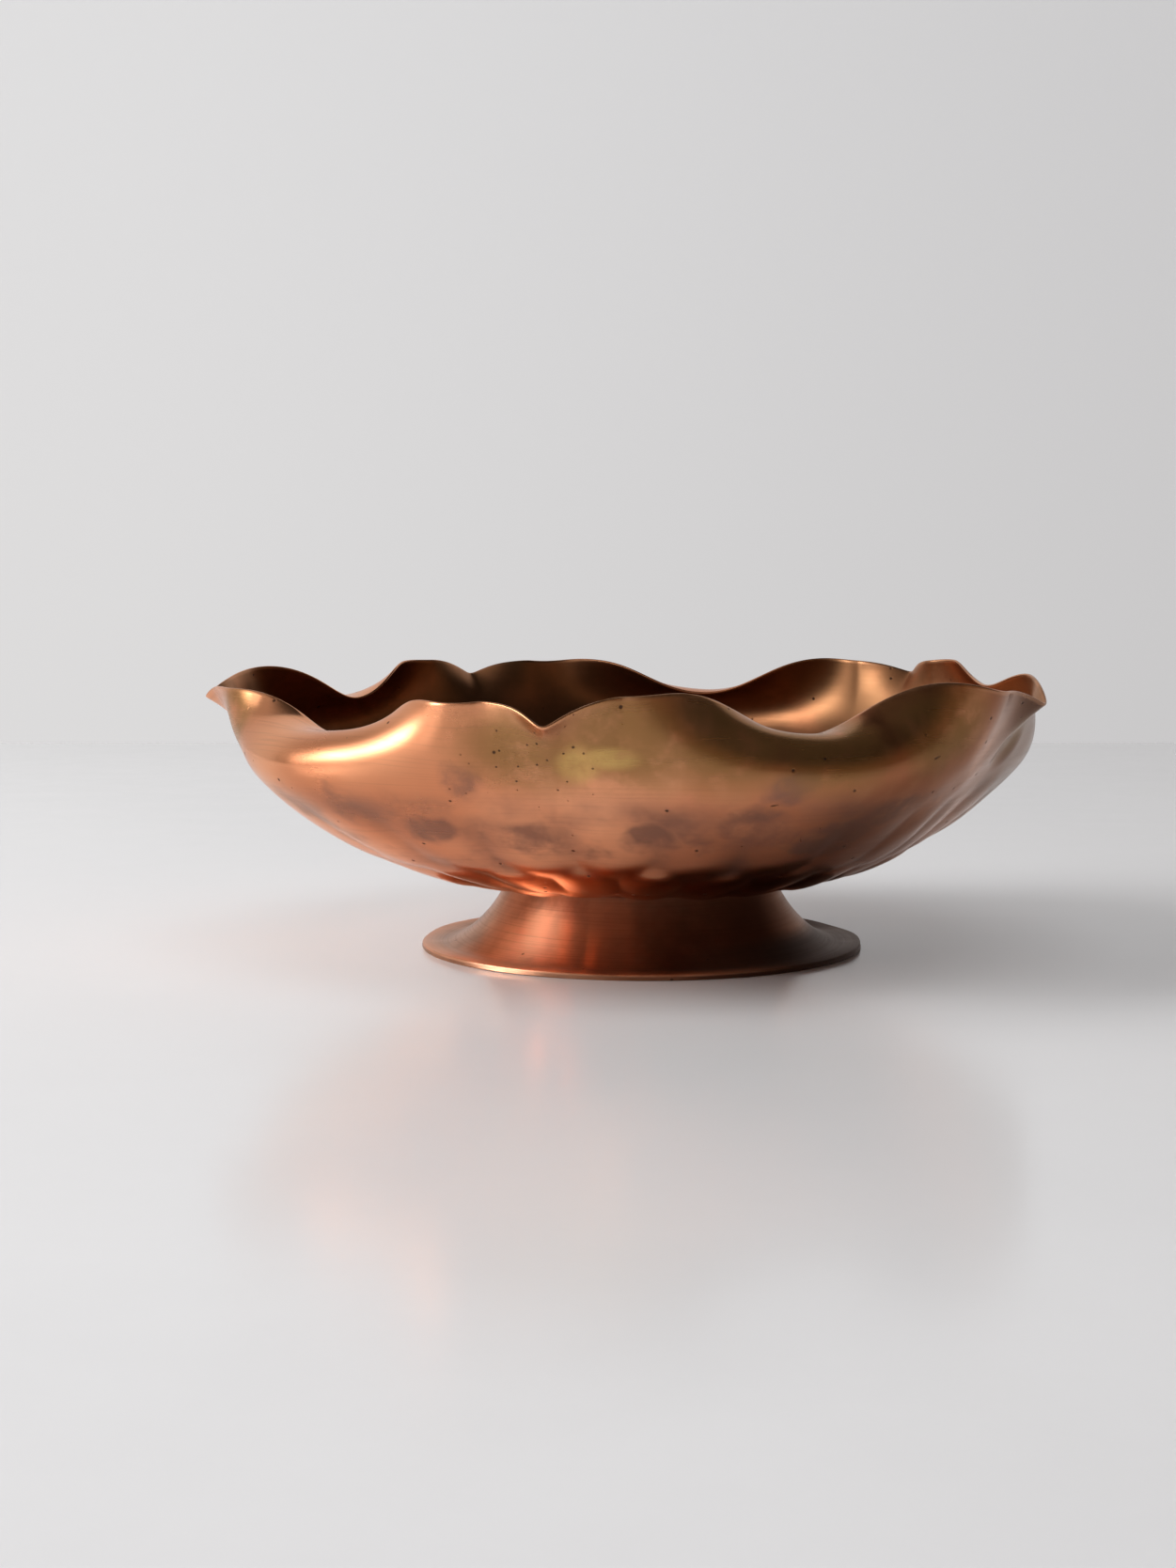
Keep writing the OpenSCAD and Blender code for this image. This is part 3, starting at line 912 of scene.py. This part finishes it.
foot_copper, tree, shader = new_material("foot_copper", Anisotropic=0.85, Anisotropic_Rotation=0.25,
                                         Specular_Tint=(0.95, 0.82, 0.74, 1))
tangent = add_node(tree, "Tangent", {"direction_type": "RADIAL", "axis": "Z"})
tree.links.new(tangent.outputs[0], shader.inputs["Tangent"])
place = add_node(tree, "TexCoord").outputs["Object"]
parts = add_node(tree, "SeparateXYZ", Vector=place).outputs
cloud = add_node(tree, "TexNoise", Vector=place, Scale=40.0, Detail=5.0, Roughness=0.6).outputs["Fac"]
lines = wheel_lines(tree, place, read_attribute(tree, "along"), 1700.0)

# Painted highlight: a bright patch on the left of the foot's front
painted_highlight = spot_mask(tree, place, HIGHLIGHT_SPOT, cloud, HIGHLIGHT_FRAY)
# Painted shade: the right of the foot is darker, away from the window
painted_shade_side = both(tree, fade(tree, parts["X"], -0.035, 0.03), fade(tree, cloud, 0.1, 0.45))
# Painted shade: the right of the flange, low by the table, is darker
painted_flange_shade = both(tree, fade(tree, parts["X"], 0.005, 0.04), fade(tree, parts["Z"], 0.008, 0.004))
# The upper edge of the hem, on the left only: partly wear, partly painted highlight on the window's
# side
hem_wear_and_highlight = both(tree, read_attribute(tree, "hem_edge"), fade(tree, cloud, 0.3, 0.5))
hem_wear_and_highlight = both(tree, hem_wear_and_highlight, fade(tree, parts["X"], 0.05, 0.0))
hem_wear_and_highlight = both(tree, hem_wear_and_highlight, fade(tree, parts["Z"], 0.0008, 0.0013))
pit_mask = pits(tree, place, 300.0, 0.10)

colour = blend_colours(tree, fade(tree, cloud, 0.38, 0.66), SKIN, DARK_SKIN)
# The first colour in this list is a painted highlight; the dark side and the soot are painted shade
for second, mask, strength in ((HIGHLIGHT_SKIN, painted_highlight, 0.85),
                               (LATHE_LINE, fade(tree, lines, 0.45, 0.7), 0.35),
                               (SHADE_SIDE, painted_shade_side, 0.85), (FLANGE_SHADE, painted_flange_shade, 0.9),
                               (HEM_EDGE_AND_HIGHLIGHT, hem_wear_and_highlight, 0.8), (PIT, pit_mask, 0.7)):
    colour = tint(tree, colour, second, mask, strength)
tree.links.new(colour, shader.inputs["Base Color"])
# The painted shade on the right of the flange also mirrors less
tree.links.new(math_node(tree, "SUBTRACT", 1.0, both(tree, painted_flange_shade, 0.5)), shader.inputs["Metallic"])

rough = math_node(tree, "ADD", 0.17, both(tree, lines, 0.18))
for mask, strength in ((cloud, 0.20), (painted_shade_side, 0.1), (painted_flange_shade, 0.2)):
    rough = math_node(tree, "ADD", rough, both(tree, mask, strength))
tree.links.new(rough, shader.inputs["Roughness"])

relief = math_node(tree, "SUBTRACT", both(tree, lines, 0.4), pit_mask)
bump = add_node(tree, "Bump", Strength=0.35, Distance=0.0002, Height=relief)
tree.links.new(bump.outputs[0], shader.inputs["Normal"])
foot.data.materials.append(foot_copper)
print("nodes for the copper of the foot:", len(tree.nodes))

# %% [markdown]
# ## The solder's finish
#
# Soft solder is a dull grey metal. Smoke and old flux have turned it brown.

# %% The solder's finish
tinned, tree, shader = new_material("tinned_solder", Metallic=1.0)
place = add_node(tree, "TexCoord").outputs["Object"]
cloud = add_node(tree, "TexNoise", Vector=place, Scale=220.0, Detail=4.0).outputs["Fac"]
tree.links.new(ramp(tree, cloud, (0.35, (0.40, 0.33, 0.27)), (0.65, (0.20, 0.14, 0.10))),
               shader.inputs["Base Color"])
tree.links.new(ramp(tree, cloud, (0.3, 0.35), (0.7, 0.6)), shader.inputs["Roughness"])
bump = add_node(tree, "Bump", Strength=0.4, Distance=0.0002, Height=cloud)
tree.links.new(bump.outputs[0], shader.inputs["Normal"])
solder.data.materials.append(tinned)
print("nodes for the solder:", len(tree.nodes))

# %% [markdown]
# ## Fixing the pieces to the frame
#
# Each piece rides on the one rigid body and replaces the CAD solid it stands for, which is hidden.

# %% Fixing the pieces
for piece, node, finish in ((bowl, "bowl", "copper_bowl"), (foot, "foot", "copper_foot"),
                            (solder, "solder_joint", "solder")):
    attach(piece, "root")
    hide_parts(node)
